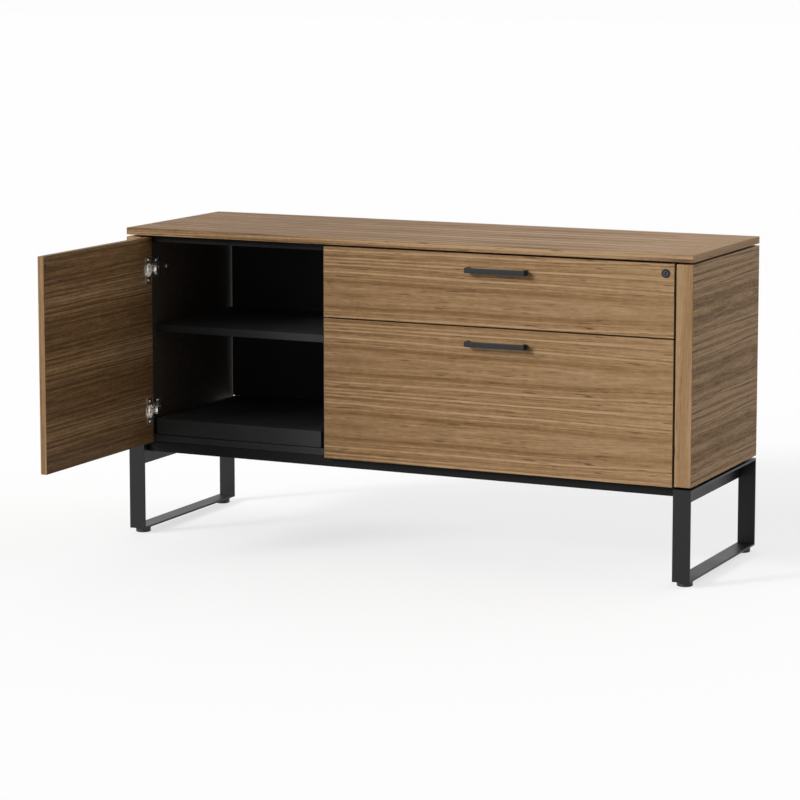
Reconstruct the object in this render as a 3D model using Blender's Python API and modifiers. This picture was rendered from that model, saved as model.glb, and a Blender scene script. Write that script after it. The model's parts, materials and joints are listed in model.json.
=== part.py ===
"""A low storage cabinet on two steel end frames, with a door, a pull-out tray and two drawers.

All sizes are in millimetres and are placed in metres. In the cabinet's own frame x runs to the right,
y runs to the back from the outer face of the fronts, and z runs up from the floor. The door stands open
at a right angle. The tray and both drawers are pushed home, and the lock is open.
"""

import math

import bmesh
import bpy
from mathutils import Matrix, Vector

MM = 0.001

# Case
WIDTH = 1430.0
DEPTH = 453.0
TOP_T = 16.5
REVEAL = 4.7
SIDE_T = 39.0
SIDE_H = 494.0
SUB_TOP_T = 16.0
FLOOR_T = 16.0
DIVIDER_T = 18.0
CARCASS_SETBACK = 20.0
BACK_T = 12.0
BACK_SIDE_GAP = 5.0
BACK_SLOT_H = 34.2
EDGE_ROUND = 0.6

# Shelf and its pins
SHELF_T = 18.0
SHELF_ABOVE_FLOOR = 261.2
SHELF_SETBACK = 65.0
SHELF_PLAY = 0.9
SHELF_BACK_GAP = 5.0
PIN_R = 2.5
PIN_UNDER_SHELF = 8.0
PIN_INSET = 37.0

# Base
FOOT_H = 12.0
FOOT_R = 18.0
FOOT_INSET = 28.0
FOOT_EASE = 1.6
STUD_R = 4.0
STUD_DEPTH = 4.4
FRAME_H = 208.0
LEG_W = 41.6
BAR_T = 5.0
APRON_T = 4.0
APRON_H = 48.0
APRON_INSET = 0.5
SHADOW_GAP = 5.8
RAIL_H = 24.8
RAIL_D = 40.0
RAIL_WALL = 2.0
PAD_R = 14.0
PAD_INSET = 60.0

# Fronts and handles
FRONT_T = 16.0
FRONT_GAP = 4.7
FRONT_DROP = 1.9
DRAWER_GAP = 3.5
DOOR_W = 478.5
UPPER_FRONT_H = 164.2
HANDLE_L = 148.0
HANDLE_H = 12.0
HANDLE_REACH = 20.0
HANDLE_BAR_T = 3.6
HANDLE_LEG_W = 8.0
HANDLE_ROUND = 0.8
HANDLE_SHIFT = 8.0
HANDLE_DROP = 36.0
DOOR_HANDLE_FROM_EDGE = 40.0

# Door hinges
DOOR_OPEN_DEG = 90.0
HINGE_FROM_END = 77.8
AXIS_FROM_EDGE = 8.0
AXIS_FROM_FACE = 8.5
CUP_R = 17.5
CUP_DEPTH = 12.5
CUP_WALL = 0.8
CUP_FROM_EDGE = 20.5
FLANGE_H = 63.0
FLANGE_W = 20.0
FLANGE_T = 2.4
HINGE_PIN_R = 1.5
KNUCKLE_R = 2.6
KNUCKLE_H = 8.0
HOOK_L = 14.0
HOOK_T = 2.8
ARM_H = 18.0
ARM_START = 9.5
ARM_W = 9.0
ARM_BASE_W = 6.5
ARM_LENGTH = 66.0
PLATE_T = 2.0
PLATE_H = 48.0
PLATE_FROM = 34.0
PLATE_L = 50.0

# Slides: an outer and an inner channel, and a middle one between them on the drawers
SLIDE_W = 12.7
SLIDE_WALL = 1.2
DRAWER_SLIDE_H = 45.0
TRAY_SLIDE_H = 27.0
TRAY_SLIDE_DROP = 1.0
TRAY_SLIDE_FOOT = 14.0
SLIDE_FROM_FRONT = 21.0
SLIDE_BACK_GAP = 20.0
OUTER_LIP = 8.6
MIDDLE_FROM = 2.2
MIDDLE_LIP = 7.2
INNER_LIP = 6.6

# Tray
LIP_T = 18.0
LIP_H = 38.7
LIP_FROM_DOOR = 4.5
LIP_ABOVE_FLOOR = 1.5
TRAY_LEFT = 27.0
TRAY_RIGHT = 6.75
TRAY_BOARD_T = 18.0
TRAY_BACK_GAP = 24.0

# Drawer boxes
BOX_SIDE_T = 12.0
BOX_BOTTOM_T = 8.0
BOX_BOTTOM_UP = 10.0
BOX_BACK_GAP = 24.0
UPPER_BOX_DOWN = 50.0
UPPER_BOX_UP = 12.4
UPPER_SLIDE_UP = 44.0
LOWER_BOX_DOWN = 37.0
LOWER_BOX_UP = 34.0
LOWER_SLIDE_UP = 106.0
FILE_BAR_T = 3.0
FILE_BAR_H = 12.0
FILE_FRAME_L = 318.0
FILE_FRAME_FROM_FRONT = 34.0

# Lock
LOCK_FROM_EDGE = 19.9
LOCK_DROP = 21.0
LOCK_FLANGE_R = 10.0
LOCK_FLANGE_T = 1.4
LOCK_EASE = 0.8
LOCK_BARREL_R = 8.5
LOCK_PLUG_R = 6.2
LOCK_BEHIND = 7.0
KEYWAY_W = 2.0
KEYWAY_H = 7.0
KEYWAY_DEPTH = 6.0
CAM_T = 2.4
CAM_W = 9.0
CAM_REACH = 21.0
STRIKE_T = 1.6
STRIKE_REACH = 9.5
STRIKE_DEPTH = 20.0
STRIKE_H = 16.0

# Fits
GAP = 0.3
BORE_CLEARANCE = 0.3
OVERLAP = 1.0
CUT_OVERRUN = 2.0
FINE = 32
ROUND = 20

# Levels, from the floor up
FRAME_TOP = FOOT_H + FRAME_H
SIDE_BOTTOM = FRAME_TOP + SHADOW_GAP
SIDE_TOP = SIDE_BOTTOM + SIDE_H
TOP_BOTTOM = SIDE_TOP + REVEAL
FLOOR_TOP = SIDE_BOTTOM + FLOOR_T
SUB_TOP_TOP = TOP_BOTTOM - GAP
SUB_TOP_BOTTOM = SUB_TOP_TOP - SUB_TOP_T
FRONT_BOTTOM = SIDE_BOTTOM - FRONT_DROP
UPPER_FRONT_BOTTOM = SIDE_TOP - UPPER_FRONT_H
LOWER_FRONT_TOP = UPPER_FRONT_BOTTOM - DRAWER_GAP
SHELF_TOP = FLOOR_TOP + SHELF_ABOVE_FLOOR
SHELF_BOTTOM = SHELF_TOP - SHELF_T
UPPER_HINGE_Z = SIDE_TOP - HINGE_FROM_END
LOWER_HINGE_Z = FRONT_BOTTOM + HINGE_FROM_END

# Lines across the cabinet, from left to right
HALF_WIDTH = WIDTH / 2
INNER_X = HALF_WIDTH - SIDE_T
DOOR_LEFT = FRONT_GAP - INNER_X
DOOR_RIGHT = DOOR_LEFT + DOOR_W
DRAWER_LEFT = DOOR_RIGHT + FRONT_GAP
DRAWER_RIGHT = INNER_X - FRONT_GAP
DRAWER_MIDDLE = (DRAWER_LEFT + DRAWER_RIGHT) / 2
DIVIDER_X = (DOOR_RIGHT + DRAWER_LEFT) / 2
DIVIDER_LEFT = DIVIDER_X - DIVIDER_T / 2
DIVIDER_RIGHT = DIVIDER_X + DIVIDER_T / 2
LIP_LEFT = TRAY_LEFT - INNER_X
LIP_RIGHT = DIVIDER_LEFT - TRAY_RIGHT
TRAY_BOARD_LEFT = LIP_LEFT + SLIDE_W + GAP
TRAY_BOARD_RIGHT = LIP_RIGHT - SLIDE_W - GAP
BOX_LEFT = DIVIDER_RIGHT + SLIDE_W + 2 * GAP
BOX_RIGHT = INNER_X - SLIDE_W - 2 * GAP
LEG_X = HALF_WIDTH - LEG_W / 2
LOCK_X = DRAWER_RIGHT - LOCK_FROM_EDGE
LOCK_Z = SIDE_TOP - LOCK_DROP

# Lines from front to back
CARCASS_BACK = DEPTH - BACK_T - GAP
LIP_FRONT = FRONT_T + LIP_FROM_DOOR
SLIDE_BACK = CARCASS_BACK - SLIDE_BACK_GAP
BOX_FRONT = FRONT_T + GAP
BOX_BACK = CARCASS_BACK - BOX_BACK_GAP
TRAY_BACK = CARCASS_BACK - TRAY_BACK_GAP

# The door's axis, and how far the open door stands out
AXIS_X = DOOR_LEFT + AXIS_FROM_EDGE
AXIS_Y = AXIS_FROM_FACE
DOOR_REACH = DOOR_W - AXIS_FROM_EDGE - AXIS_Y

# The origin lies under the middle of the whole object with its door open
FRONT_Y = (DOOR_REACH - DEPTH) / 2

WALNUT = ("walnut_veneer", (0.30, 0.19, 0.105), 0.45, 0.0)
LAMINATE = ("black_laminate", (0.018, 0.018, 0.018), 0.55, 0.0)
DRAWER_BOARD = ("graphite_board", (0.045, 0.045, 0.047), 0.6, 0.0)
BLACK_STEEL = ("black_powder_coat", (0.035, 0.036, 0.038), 0.45, 0.6)
HANDLE_STEEL = ("blued_black_steel", (0.03, 0.034, 0.042), 0.4, 0.8)
NICKEL = ("bright_nickel", (0.72, 0.71, 0.69), 0.25, 1.0)
ZINC = ("zinc_plate", (0.55, 0.56, 0.57), 0.35, 1.0)
BLACK_PLASTIC = ("black_plastic", (0.02, 0.02, 0.02), 0.5, 0.0)

TO_XY = Matrix.Identity(4)
TO_XZ = Matrix(((1, 0, 0, 0), (0, 0, -1, 0), (0, 1, 0, 0), (0, 0, 0, 1)))
TO_YZ = Matrix(((0, 0, 1, 0), (1, 0, 0, 0), (0, 1, 0, 0), (0, 0, 0, 1)))


def clear_scene():
    """Removes every object that is in the scene."""
    for obj in list(bpy.data.objects):
        bpy.data.objects.remove(obj, do_unlink=True)


def new_collection(name):
    """A collection under the scene's own."""
    made = bpy.data.collections.new(name)
    bpy.context.scene.collection.children.link(made)
    return made


def material(finish):
    """One Principled material for a finish: its name, colour, roughness and metallic value."""
    name, colour, roughness, metallic = finish
    found = bpy.data.materials.get(name)
    if found:
        return found
    made = bpy.data.materials.new(name)
    made.use_nodes = True
    shader = made.node_tree.nodes["Principled BSDF"]
    shader.inputs["Base Color"].default_value = (*colour, 1.0)
    shader.inputs["Roughness"].default_value = roughness
    shader.inputs["Metallic"].default_value = metallic
    made.diffuse_color = (*colour, 1.0)
    return made


class Frame:
    """An empty that carries pieces: its origin in the cabinet's frame, and its turn about the vertical."""

    def __init__(self, name, origin, parent=None, turn_deg=0.0):
        self.origin = Vector(origin)
        self.empty = bpy.data.objects.new(name, None)
        PARTS.objects.link(self.empty)
        carried_from = parent.origin if parent else Vector((0.0, -FRONT_Y, 0.0))
        self.empty.location = (self.origin - carried_from) * MM
        self.empty.rotation_euler.z = math.radians(turn_deg)
        if parent:
            self.empty.parent = parent.empty


class Shape:
    """Collects closed solids, given in the cabinet's frame in millimetres with every moving piece shut."""

    def __init__(self):
        self.mesh = bmesh.new()

    def box(self, low, high):
        """A box between its lowest and its highest corner."""
        low, high = Vector(low), Vector(high)
        place = Matrix.Translation((low + high) / 2) @ Matrix.Diagonal((*(high - low), 1.0))
        bmesh.ops.create_cube(self.mesh, size=1.0, matrix=place)
        return self

    def turned(self, profile, centre, axis, steps=ROUND):
        """Spins a profile of (radius, height) points about an axis, from axis to axis or as a closed ring."""
        to_axis = Vector(axis).to_track_quat("Z", "Y").to_matrix().to_4x4()
        closed = profile[0][0] > 0.0
        points = [self.mesh.verts.new((radius, 0.0, height)) for radius, height in profile]
        ends = points[1:] + points[:1] if closed else points[1:]
        lines = [self.mesh.edges.new(pair) for pair in zip(points, ends)]
        spun = bmesh.ops.spin(
            self.mesh, geom=points + lines, cent=(0, 0, 0), axis=(0, 0, 1), angle=math.tau, steps=steps
        )
        seed = [item for item in spun["geom_last"] if isinstance(item, bmesh.types.BMVert)]
        solid = self._linked(points + seed)
        bmesh.ops.remove_doubles(self.mesh, verts=solid, dist=0.0001)
        solid = self._linked([vert for vert in solid if vert.is_valid])
        bmesh.ops.transform(self.mesh, matrix=Matrix.Translation(centre) @ to_axis, verts=solid)
        return self

    def rod(self, radius, start, end, steps=ROUND):
        """A plain round rod from one point to another."""
        start, end = Vector(start), Vector(end)
        length = (end - start).length
        return self.turned([(0, 0), (radius, 0), (radius, length), (0, length)], start, end - start, steps)

    def outline(self, outlines, middle, thickness, plane=TO_XY):
        """Flat outlines, an inner one being a hole, drawn in a plane and thickened evenly about middle."""
        curve = bpy.data.curves.new("outline", "CURVE")
        curve.dimensions = "2D"
        curve.fill_mode = "BOTH"
        curve.extrude = thickness / 2
        for points in outlines:
            spline = curve.splines.new("POLY")
            spline.points.add(len(points) - 1)
            for point, (across, up) in zip(spline.points, points):
                point.co = (across, up, 0.0, 1.0)
            spline.use_cyclic_u = True
        holder = bpy.data.objects.new("outline", curve)
        bpy.context.scene.collection.objects.link(holder)
        bpy.context.view_layer.update()
        evaluated = holder.evaluated_get(bpy.context.evaluated_depsgraph_get())
        flat = bpy.data.meshes.new_from_object(evaluated)
        bpy.data.objects.remove(holder, do_unlink=True)
        known = set(self.mesh.verts)
        self.mesh.from_mesh(flat)
        bpy.data.meshes.remove(flat)
        fresh = [vert for vert in self.mesh.verts if vert not in known]
        bmesh.ops.remove_doubles(self.mesh, verts=fresh, dist=0.0001)
        fresh = [vert for vert in self.mesh.verts if vert not in known]
        bmesh.ops.transform(self.mesh, matrix=Matrix.Translation(middle) @ plane, verts=fresh)
        return self

    def _linked(self, seeds):
        """Every vertex that is joined by edges to the seeds."""
        found, waiting = set(seeds), list(seeds)
        while waiting:
            vert = waiting.pop()
            for edge in vert.link_edges:
                other = edge.other_vert(vert)
                if other not in found:
                    found.add(other)
                    waiting.append(other)
        return list(found)

    def place(self, name, frame, collection):
        """Makes the object, with its origin at its middle, carried by a frame."""
        bmesh.ops.recalc_face_normals(self.mesh, faces=self.mesh.faces)
        corners = [vert.co for vert in self.mesh.verts]
        low = Vector(map(min, zip(*corners)))
        high = Vector(map(max, zip(*corners)))
        middle = (low + high) / 2
        bmesh.ops.translate(self.mesh, vec=-middle, verts=self.mesh.verts)
        bmesh.ops.scale(self.mesh, vec=(MM, MM, MM), verts=self.mesh.verts)
        data = bpy.data.meshes.new(name)
        self.mesh.to_mesh(data)
        self.mesh.free()
        made = bpy.data.objects.new(name, data)
        made.location = (middle - frame.origin) * MM
        made.parent = frame.empty
        collection.objects.link(made)
        return made

    def piece(self, name, frame, finish, edge_round=0.0, smooth=False):
        """A visible piece with its finish, and its long edges eased where edge_round is set."""
        made = self.place(name, frame, PARTS)
        made.data.materials.append(material(finish))
        if smooth:
            made.data.shade_smooth()
            made.data.set_sharp_from_angle(angle=math.radians(35))
        if edge_round:
            bevel = made.modifiers.new("eased_edges", "BEVEL")
            bevel.width = edge_round * MM
            bevel.segments = 1
            bevel.limit_method = "ANGLE"
        return made


def boolean(piece, frame, operation, shape):
    """Joins a shape to a piece or cuts it away, with a helper that is left out of the model."""
    helper = shape.place(f"{piece.name}_{operation.lower()}_{len(piece.modifiers)}", frame, HELPERS)
    helper.hide_render = True
    helper.display_type = "WIRE"
    step = piece.modifiers.new(operation.lower(), "BOOLEAN")
    step.operation = operation
    step.solver = "EXACT"
    step.object = helper


def cut(piece, frame, shape):
    boolean(piece, frame, "DIFFERENCE", shape)


def join(piece, frame, shape):
    boolean(piece, frame, "UNION", shape)


def arc(centre, radius, start_deg, end_deg, steps):
    """Points along an arc, both ends included."""
    turns = [math.radians(start_deg + (end_deg - start_deg) * i / steps) for i in range(steps + 1)]
    return [(centre[0] + radius * math.cos(t), centre[1] + radius * math.sin(t)) for t in turns]


def rectangle(left, right, low, high):
    """The four corners of a rectangle, in turn."""
    return [(left, low), (right, low), (right, high), (left, high)]


def case_panels(cabinet):
    """The walnut top and sides and the black panels between them."""
    top = Shape().box((-HALF_WIDTH, 0, TOP_BOTTOM), (HALF_WIDTH, DEPTH, TOP_BOTTOM + TOP_T))
    top.piece("top_panel", cabinet, WALNUT, EDGE_ROUND)
    inner = INNER_X - GAP
    sub_top = Shape().box((-inner, CARCASS_SETBACK, SUB_TOP_BOTTOM), (inner, CARCASS_BACK, SUB_TOP_TOP))
    sub_top.piece("sub_top", cabinet, LAMINATE)
    floor = Shape().box((-inner, CARCASS_SETBACK, SIDE_BOTTOM), (inner, CARCASS_BACK, FLOOR_TOP))
    floor.piece("bottom_panel", cabinet, LAMINATE, EDGE_ROUND)
    low = (DIVIDER_LEFT, CARCASS_SETBACK, FLOOR_TOP + GAP)
    high = (DIVIDER_RIGHT, CARCASS_BACK, SUB_TOP_BOTTOM - GAP)
    divider = Shape().box(low, high).piece("divider_panel", cabinet, LAMINATE, EDGE_ROUND)
    sides = {}
    for name, sign in (("left", -1), ("right", 1)):
        near, far = sorted((sign * INNER_X, sign * HALF_WIDTH))
        side = Shape().box((near, 0, SIDE_BOTTOM), (far, DEPTH, SIDE_TOP))
        sides[name] = side.piece(f"side_panel_{name}", cabinet, WALNUT, EDGE_ROUND)
    return sides["left"], divider


def back_panels(cabinet):
    """Two back panels, with an air and cable slot under the left one and a light gap at each end."""
    left, right = BACK_SIDE_GAP - INNER_X, INNER_X - BACK_SIDE_GAP
    seam = GAP / 2
    spans = {
        "left": (left, DIVIDER_X - seam, FLOOR_TOP + BACK_SLOT_H),
        "right": (DIVIDER_X + seam, right, SIDE_BOTTOM),
    }
    for name, (low_x, high_x, bottom) in spans.items():
        panel = Shape().box((low_x, CARCASS_BACK + GAP, bottom), (high_x, DEPTH, SUB_TOP_TOP))
        panel.piece(f"back_panel_{name}", cabinet, LAMINATE, EDGE_ROUND)


def shelf_and_pins(cabinet, side, divider):
    """The loose shelf on four round pins, which stand out of the left side and of the divider."""
    left, right = -INNER_X + SHELF_PLAY, DIVIDER_LEFT - SHELF_PLAY
    back = CARCASS_BACK - SHELF_BACK_GAP
    shelf = Shape().box((left, SHELF_SETBACK, SHELF_BOTTOM), (right, back, SHELF_TOP))
    shelf.piece("adjustable_shelf", cabinet, LAMINATE, EDGE_ROUND)
    z = SHELF_BOTTOM - GAP - PIN_R
    for wall, inward, carrier in ((-INNER_X, 1, side), (DIVIDER_LEFT, -1, divider)):
        pins = Shape()
        for y in (SHELF_SETBACK + PIN_INSET, back - PIN_INSET):
            pins.rod(PIN_R, (wall - inward * OVERLAP, y, z), (wall + inward * PIN_UNDER_SHELF, y, z))
        join(carrier, cabinet, pins)


def base_frame(cabinet):
    """Two welded end frames of flat bar with an inner apron, two tubular cross rails and four feet."""
    foot_places = {"front": FOOT_INSET, "rear": DEPTH - FOOT_INSET}
    low = FOOT_H + BAR_T
    outer = rectangle(0, DEPTH, FOOT_H, FRAME_TOP)
    inner = rectangle(BAR_T, DEPTH - BAR_T, low, FRAME_TOP - BAR_T)
    apron_in = HALF_WIDTH - LEG_W + APRON_INSET
    for side, sign in (("left", -1), ("right", 1)):
        ring = Shape().outline([outer, inner], (sign * LEG_X, 0, 0), LEG_W, TO_YZ)
        frame = ring.piece(f"end_frame_{side}", cabinet, BLACK_STEEL)
        near, far = sorted((sign * apron_in, sign * (apron_in + APRON_T)))
        top = FRAME_TOP - BAR_T / 2
        apron = Shape().box((near, BAR_T / 2, FRAME_TOP - APRON_H), (far, DEPTH - BAR_T / 2, top))
        join(frame, cabinet, apron)
        pads = Shape()
        for y in (PAD_INSET, DEPTH - PAD_INSET):
            pads.rod(PAD_R, (sign * LEG_X, y, top), (sign * LEG_X, y, SIDE_BOTTOM - GAP))
        join(frame, cabinet, pads)
        holes = Shape()
        for y in foot_places.values():
            bore = STUD_R + BORE_CLEARANCE
            holes.rod(bore, (sign * LEG_X, y, FOOT_H - CUT_OVERRUN), (sign * LEG_X, y, low + CUT_OVERRUN))
        cut(frame, cabinet, holes)
        for end, y in foot_places.items():
            levelling_foot(f"foot_{end}_{side}", cabinet, (sign * LEG_X, y, 0))
    rail_run = 2 * (HALF_WIDTH - LEG_W - GAP)
    rail_top = SIDE_BOTTOM - GAP
    for name, front in (("front", CARCASS_SETBACK), ("rear", DEPTH - CARCASS_SETBACK - RAIL_D)):
        tube = [
            rectangle(front + wall, front + RAIL_D - wall, rail_top - RAIL_H + wall, rail_top - wall)
            for wall in (0.0, RAIL_WALL)
        ]
        rail = Shape().outline(tube, (0, 0, 0), rail_run, TO_YZ)
        rail.piece(f"{name}_rail", cabinet, BLACK_STEEL, EDGE_ROUND)


def levelling_foot(name, cabinet, place):
    """A round foot with eased rims, and the stud that stands in the bar above it."""
    top = FOOT_H - GAP
    tip = FOOT_H + STUD_DEPTH
    foot = [(0, 0), (FOOT_R - FOOT_EASE, 0), (FOOT_R, FOOT_EASE), (FOOT_R, top - FOOT_EASE)]
    foot += [(FOOT_R - FOOT_EASE, top), (STUD_R, top), (STUD_R, tip), (0, tip)]
    Shape().turned(foot, place, (0, 0, 1), FINE).piece(name, cabinet, BLACK_PLASTIC, smooth=True)


def handle(name, frame, middle_x, middle_z):
    """A flat bridge handle: a front bar on two legs that stand on the front's face."""
    half, back = HANDLE_L / 2, -GAP
    inside, behind = half - HANDLE_LEG_W, -HANDLE_REACH + HANDLE_BAR_T
    points = [(-half, -HANDLE_REACH), (half, -HANDLE_REACH), (half, back), (inside, back)]
    points += [(inside, behind), (-inside, behind), (-inside, back), (-half, back)]
    bar = Shape().outline([points], (middle_x, 0, middle_z), HANDLE_H)
    bar.piece(name, frame, HANDLE_STEEL, HANDLE_ROUND)


def channel(wall, inward, start, lip, low, high):
    """A channel's outline across its run: its web stands at start, and its two flanges run lip far."""
    web = start + math.copysign(SLIDE_WALL, lip)
    end = start + lip
    points = [(start, low), (end, low), (end, low + SLIDE_WALL), (web, low + SLIDE_WALL)]
    points += [(web, high - SLIDE_WALL), (end, high - SLIDE_WALL), (end, high), (start, high)]
    return [(wall + inward * across, up) for across, up in points]


def slide_part(name, frame, outline, front, finish=ZINC):
    """One member of a slide, from its front end to where every slide stops."""
    middle_y = (front + SLIDE_BACK) / 2
    Shape().outline([outline], (0, middle_y, 0), SLIDE_BACK - front, TO_XZ).piece(name, frame, finish)


def drawer_slides(name, cabinet, middle_frame, frame, middle_z):
    """The drawer's two slides: the middle channel runs in the outer one, and the inner one in both."""
    half, step = DRAWER_SLIDE_H / 2, SLIDE_WALL + GAP
    for side, wall, inward in (("left", DIVIDER_RIGHT, 1), ("right", INNER_X, -1)):
        members = {
            "outer": (cabinet, GAP, OUTER_LIP, half),
            "middle": (middle_frame, MIDDLE_FROM, MIDDLE_LIP, half - step),
            "inner": (frame, GAP + SLIDE_W, -INNER_LIP, half - 2 * step),
        }
        for member, (carrier, start, lip, reach) in members.items():
            outline = channel(wall, inward, start, lip, middle_z - reach, middle_z + reach)
            slide_part(f"{name}_slide_{side}_{member}", carrier, outline, SLIDE_FROM_FRONT)


def tray(cabinet, tray_frame):
    """The pull-out tray: its board and front lip, on two slides that stand on the bottom panel."""
    lip_bottom = FLOOR_TOP + LIP_ABOVE_FLOOR
    lip_top = lip_bottom + LIP_H
    lip = Shape().box((LIP_LEFT, LIP_FRONT, lip_bottom), (LIP_RIGHT, LIP_FRONT + LIP_T, lip_top))
    lip.piece("tray_lip", tray_frame, LAMINATE, EDGE_ROUND)
    front = LIP_FRONT + LIP_T + GAP
    board_bottom = lip_top - TRAY_BOARD_T
    board = Shape().box((TRAY_BOARD_LEFT, front, board_bottom), (TRAY_BOARD_RIGHT, TRAY_BACK, lip_top))
    board.piece("tray_board", tray_frame, LAMINATE, EDGE_ROUND)
    high = lip_top - TRAY_SLIDE_DROP
    low = high - TRAY_SLIDE_H
    step = SLIDE_WALL + GAP
    foot = FLOOR_TOP + GAP
    for side, wall, inward in (("left", LIP_LEFT - GAP, 1), ("right", LIP_RIGHT + GAP, -1)):
        outer = channel(wall, inward, GAP, OUTER_LIP, low, high)[1:]
        stand = [(GAP, foot), (GAP + TRAY_SLIDE_FOOT, foot), (GAP + TRAY_SLIDE_FOOT, foot + SLIDE_WALL)]
        stand += [(GAP + SLIDE_WALL, foot + SLIDE_WALL), (GAP + SLIDE_WALL, low)]
        outer = [(wall + inward * across, up) for across, up in stand] + outer
        slide_part(f"tray_slide_{side}_outer", cabinet, outer, front)
        inner = channel(wall, inward, GAP + SLIDE_W, GAP - SLIDE_W + SLIDE_WALL, low + step, high - step)
        slide_part(f"tray_slide_{side}_inner", tray_frame, inner, front)


def drawer(name, cabinet, frame, middle_frame, front_z, box_z, slide_z, handle_z):
    """One drawer: its front, two sides, back, bottom, handle and slides. It gives back the front."""
    front = Shape().box((DRAWER_LEFT, 0, front_z[0]), (DRAWER_RIGHT, FRONT_T, front_z[1]))
    front = front.piece(f"{name}_front", frame, WALNUT, EDGE_ROUND)
    low, high = box_z
    for side, left in (("left", BOX_LEFT), ("right", BOX_RIGHT - BOX_SIDE_T)):
        wall = Shape().box((left, BOX_FRONT, low), (left + BOX_SIDE_T, BOX_BACK, high))
        wall.piece(f"{name}_side_{side}", frame, DRAWER_BOARD, EDGE_ROUND)
    left, right = BOX_LEFT + BOX_SIDE_T + GAP, BOX_RIGHT - BOX_SIDE_T - GAP
    bottom_low = low + BOX_BOTTOM_UP
    bottom_high = bottom_low + BOX_BOTTOM_T
    bottom = Shape().box((left, BOX_FRONT, bottom_low), (right, BOX_BACK, bottom_high))
    bottom.piece(f"{name}_bottom", frame, DRAWER_BOARD)
    back = Shape().box((left, BOX_BACK - BOX_SIDE_T, bottom_high + GAP), (right, BOX_BACK, high))
    back.piece(f"{name}_back", frame, DRAWER_BOARD, EDGE_ROUND)
    handle(f"{name}_handle", frame, DRAWER_MIDDLE + HANDLE_SHIFT, handle_z)
    drawer_slides(name, cabinet, middle_frame, frame, slide_z)
    return front


def file_frame(frame, top):
    """A welded frame of flat bar for hanging files, resting on the lower drawer's sides."""
    near, far = FILE_FRAME_FROM_FRONT, FILE_FRAME_FROM_FRONT + FILE_FRAME_L
    rims = [
        rectangle(BOX_LEFT + bar, BOX_RIGHT - bar, near + bar, far - bar) for bar in (0.0, FILE_BAR_T)
    ]
    bars = Shape().outline(rims, (0, 0, top + GAP + FILE_BAR_H / 2), FILE_BAR_H)
    bars.piece("hanging_file_frame", frame, ZINC)


def lock(cabinet, drawer_frame, lock_frame, front):
    """The cam lock of the upper drawer: housing, plug, cam, and the strike on the right side."""
    back = FRONT_T + LOCK_BEHIND
    bore = LOCK_PLUG_R + BORE_CLEARANCE
    face = -GAP - LOCK_FLANGE_T
    ring = [(bore, face), (LOCK_FLANGE_R - LOCK_EASE, face)]
    ring += [(LOCK_FLANGE_R, face + LOCK_EASE), (LOCK_FLANGE_R, -GAP)]
    ring += [(LOCK_BARREL_R, -GAP), (LOCK_BARREL_R, back), (bore, back)]
    housing = Shape().turned(ring, (LOCK_X, 0, LOCK_Z), (0, 1, 0), FINE)
    housing.piece("lock_housing", drawer_frame, BLACK_STEEL, smooth=True)
    bore_ends = (LOCK_X, -CUT_OVERRUN, LOCK_Z), (LOCK_X, FRONT_T + CUT_OVERRUN, LOCK_Z)
    cut(front, drawer_frame, Shape().rod(LOCK_BARREL_R + BORE_CLEARANCE, *bore_ends, FINE))
    plug = Shape().rod(LOCK_PLUG_R, (LOCK_X, face + GAP, LOCK_Z), (LOCK_X, back + GAP, LOCK_Z), FINE)
    plug = plug.piece("lock_plug", lock_frame, BLACK_STEEL, smooth=True)
    half_w, half_h = KEYWAY_W / 2, KEYWAY_H / 2
    low = (LOCK_X - half_w, face - CUT_OVERRUN, LOCK_Z - half_h)
    high = (LOCK_X + half_w, face + KEYWAY_DEPTH, LOCK_Z + half_h)
    cut(plug, lock_frame, Shape().box(low, high))
    cam_front = back + 2 * GAP
    half = CAM_W / 2
    end = CAM_REACH - half
    cam = arc((LOCK_X, LOCK_Z), half, 0, 180, 8) + arc((LOCK_X, LOCK_Z - end), half, 180, 360, 8)
    cam = Shape().outline([cam], (0, cam_front + CAM_T / 2, 0), CAM_T, TO_XZ)
    cam.piece("lock_cam", lock_frame, ZINC)
    wall = INNER_X - GAP
    plate_back = cam_front - 2 * GAP
    plate_front = plate_back - STRIKE_T
    tip = wall - STRIKE_REACH
    inside, end = wall - STRIKE_T, plate_front + STRIKE_DEPTH
    points = [(tip, plate_front), (wall, plate_front), (wall, end), (inside, end)]
    points += [(inside, plate_back), (tip, plate_back)]
    strike = Shape().outline([points], (0, 0, LOCK_Z), STRIKE_H)
    strike.piece("lock_strike", cabinet, ZINC)


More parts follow.
